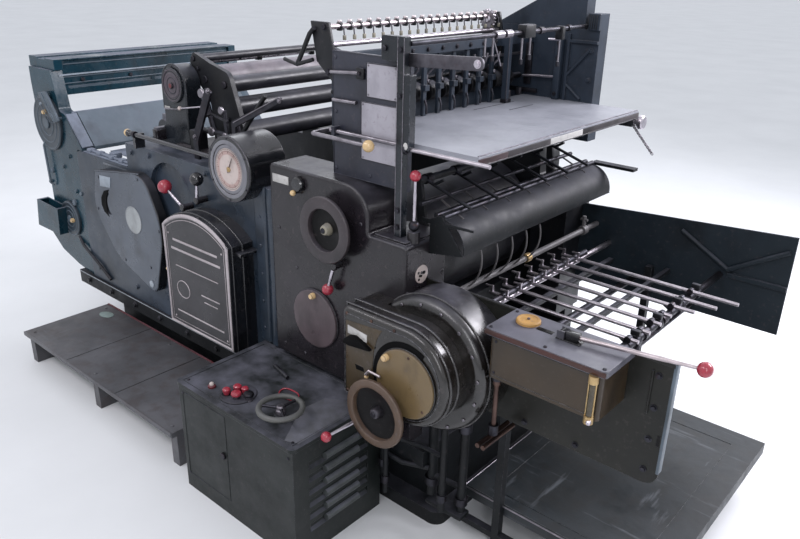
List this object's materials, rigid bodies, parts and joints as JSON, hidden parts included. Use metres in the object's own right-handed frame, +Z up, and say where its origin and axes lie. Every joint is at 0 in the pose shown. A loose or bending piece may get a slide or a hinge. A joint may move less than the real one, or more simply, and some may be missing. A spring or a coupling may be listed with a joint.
{
  "type": "die-cutting press",
  "caption": "Flat-bed cylinder press used for die cutting, with a feed table, gear housing, handwheels, levers and a rod delivery over a pile board.",
  "frame": {"origin": "on the floor under the middle of the bed, level with the bed's underside", "axes": "+X along the machine towards the delivery end, +Y away from the operator's side, +Z up"},
  "size_m": [3.2156, 1.452, 1.6484],
  "materials": {
    "black_enamel": "worn gloss black enamel",
    "grey_enamel": "dusty grey-black enamel",
    "dark_iron": "dark oily casting",
    "steel": "bright turned steel",
    "table_grey": "scuffed grey plate",
    "light_plate": "plain light metal plate",
    "dial_cream": "cream dial face",
    "red_ball": "red ball end on a bright rod",
    "cream_ball": "cream ball end on a bright rod",
    "black_ball": "black ball end",
    "olive_cover": "olive black enamel",
    "board_steel": "mottled dark board",
    "ink_grey": "ink-stained roller",
    "wheel_grey": "worn handwheel"
  },
  "bodies": {
    "machine": {"arch_gearbox": "black_enamel", "bed": "dark_iron", "box_lid": "black_enamel", "control_cabinet": "board_steel", "control_rod": "steel", "delivery_bar": "steel", "delivery_guard": "dark_iron", "delivery_posts": "dark_iron", "delivery_rods": "steel", "dial_face": "dial_cream", "dial_housing": "black_enamel", "end_tray": "grey_enamel", "far_frame": "dark_iron", "far_side_panel": "dark_iron", "far_tower": "dark_iron", "feed_rolls": "black_enamel", "feed_table": "table_grey", "feeder_post": "black_enamel", "feeder_rails": "steel", "feeder_side_plate": "dark_iron", "finger_comb": "black_enamel", "fixed_rollers": "ink_grey", "flat_bed": "dark_iron", "front_housing": "black_enamel", "gear_cover": "olive_cover", "gear_housing": "black_enamel", "hoist_crank": "steel", "ink_guards": "grey_enamel", "inking_frames": "grey_enamel", "inking_hood": "grey_enamel", "lever_box": "olive_cover", "light_plates": "light_plate", "link_plates": "steel", "name_plate": "grey_enamel", "name_plate_cover": "black_enamel", "near_frame": "black_enamel", "near_side_panel": "olive_cover", "rod_carrier": "steel", "roller_brackets": "dark_iron", "round_covers": "olive_cover", "sight_glass": "steel", "step_board": "board_steel", "stop_buttons": "red_ball", "stripper_fingers": "steel", "teardrop_cover": "grey_enamel", "tower_hood": "black_enamel"},
    "ink_roller": {"ink_roller": "ink_grey"},
    "impression_cylinder": {"impression_cylinder": "steel"},
    "upper_handwheel": {"upper_handwheel": "wheel_grey"},
    "lower_handwheel": {"lower_handwheel": "wheel_grey"},
    "speed_handwheel": {"speed_handwheel": "wheel_grey"},
    "housing_lever": {"housing_lever": "red_ball"},
    "side_lever": {"side_lever": "red_ball"},
    "black_lever": {"black_lever": "black_ball"},
    "ledge_lever": {"ledge_lever": "red_ball"},
    "box_lever": {"box_lever": "red_ball"},
    "foot_lever": {"foot_lever": "red_ball"},
    "crank_handle": {"crank_handle": "cream_ball"},
    "pile_board": {"pile_board": "board_steel"}
  },
  "joints": [
    {"name": "upper_handwheel_turn", "type": "hinge", "parent": "machine", "child": "upper_handwheel", "pos_m": [0.652, -0.58, 0.966], "axis": [0, 1, 0], "continuous": true},
    {"name": "lower_handwheel_turn", "type": "hinge", "parent": "machine", "child": "lower_handwheel", "pos_m": [0.987, -0.72, 0.538], "axis": [0, 1, 0], "continuous": true},
    {"name": "speed_handwheel_turn", "type": "hinge", "parent": "machine", "child": "speed_handwheel", "pos_m": [0.68, -0.815, 0.462], "axis": [0, 0, 1], "range_deg": [-150, 150]},
    {"name": "ink_roller_turn", "type": "hinge", "parent": "machine", "child": "ink_roller", "pos_m": [-0.25, 0, 1.284], "axis": [0, 1, 0], "continuous": true},
    {"name": "cylinder_turn", "type": "hinge", "parent": "machine", "child": "impression_cylinder", "pos_m": [0.56, 0, 0.79], "axis": [0, 1, 0], "continuous": true},
    {"name": "housing_lever_swing", "type": "hinge", "parent": "machine", "child": "housing_lever", "pos_m": [0.672, -0.565, 0.851], "axis": [0, 1, 0], "range_deg": [-25, 25]},
    {"name": "side_lever_swing", "type": "hinge", "parent": "machine", "child": "side_lever", "pos_m": [-0.16, -0.53, 0.843], "axis": [0, 1, 0], "range_deg": [-15, 20]},
    {"name": "black_lever_swing", "type": "hinge", "parent": "machine", "child": "black_lever", "pos_m": [-0.066, -0.53, 0.89], "axis": [0, 1, 0], "range_deg": [-15, 15]},
    {"name": "ledge_lever_swing", "type": "hinge", "parent": "machine", "child": "ledge_lever", "pos_m": [0.92, -0.5, 1.0223], "axis": [1, 0, 0], "range_deg": [-20, 20]},
    {"name": "box_lever_lift", "type": "hinge", "parent": "machine", "child": "box_lever", "pos_m": [1.425, -0.516, 0.869], "axis": [0, -1, 0], "range_deg": [0, 45]},
    {"name": "foot_lever_swing", "type": "hinge", "parent": "machine", "child": "foot_lever", "pos_m": [0.905, -0.588, 0.466], "axis": [1, 0, 0], "range_deg": [-10, 25]},
    {"name": "crank_handle_turn", "type": "hinge", "parent": "machine", "child": "crank_handle", "pos_m": [0.7, -0.5025, 1.24468], "axis": [1, 0, 0], "range_deg": [-60, 60]},
    {"name": "pile_board_lift", "type": "slide", "parent": "machine", "child": "pile_board", "axis": [0, 0, 1], "range_m": [-0.1, 0.3]}
  ]
}
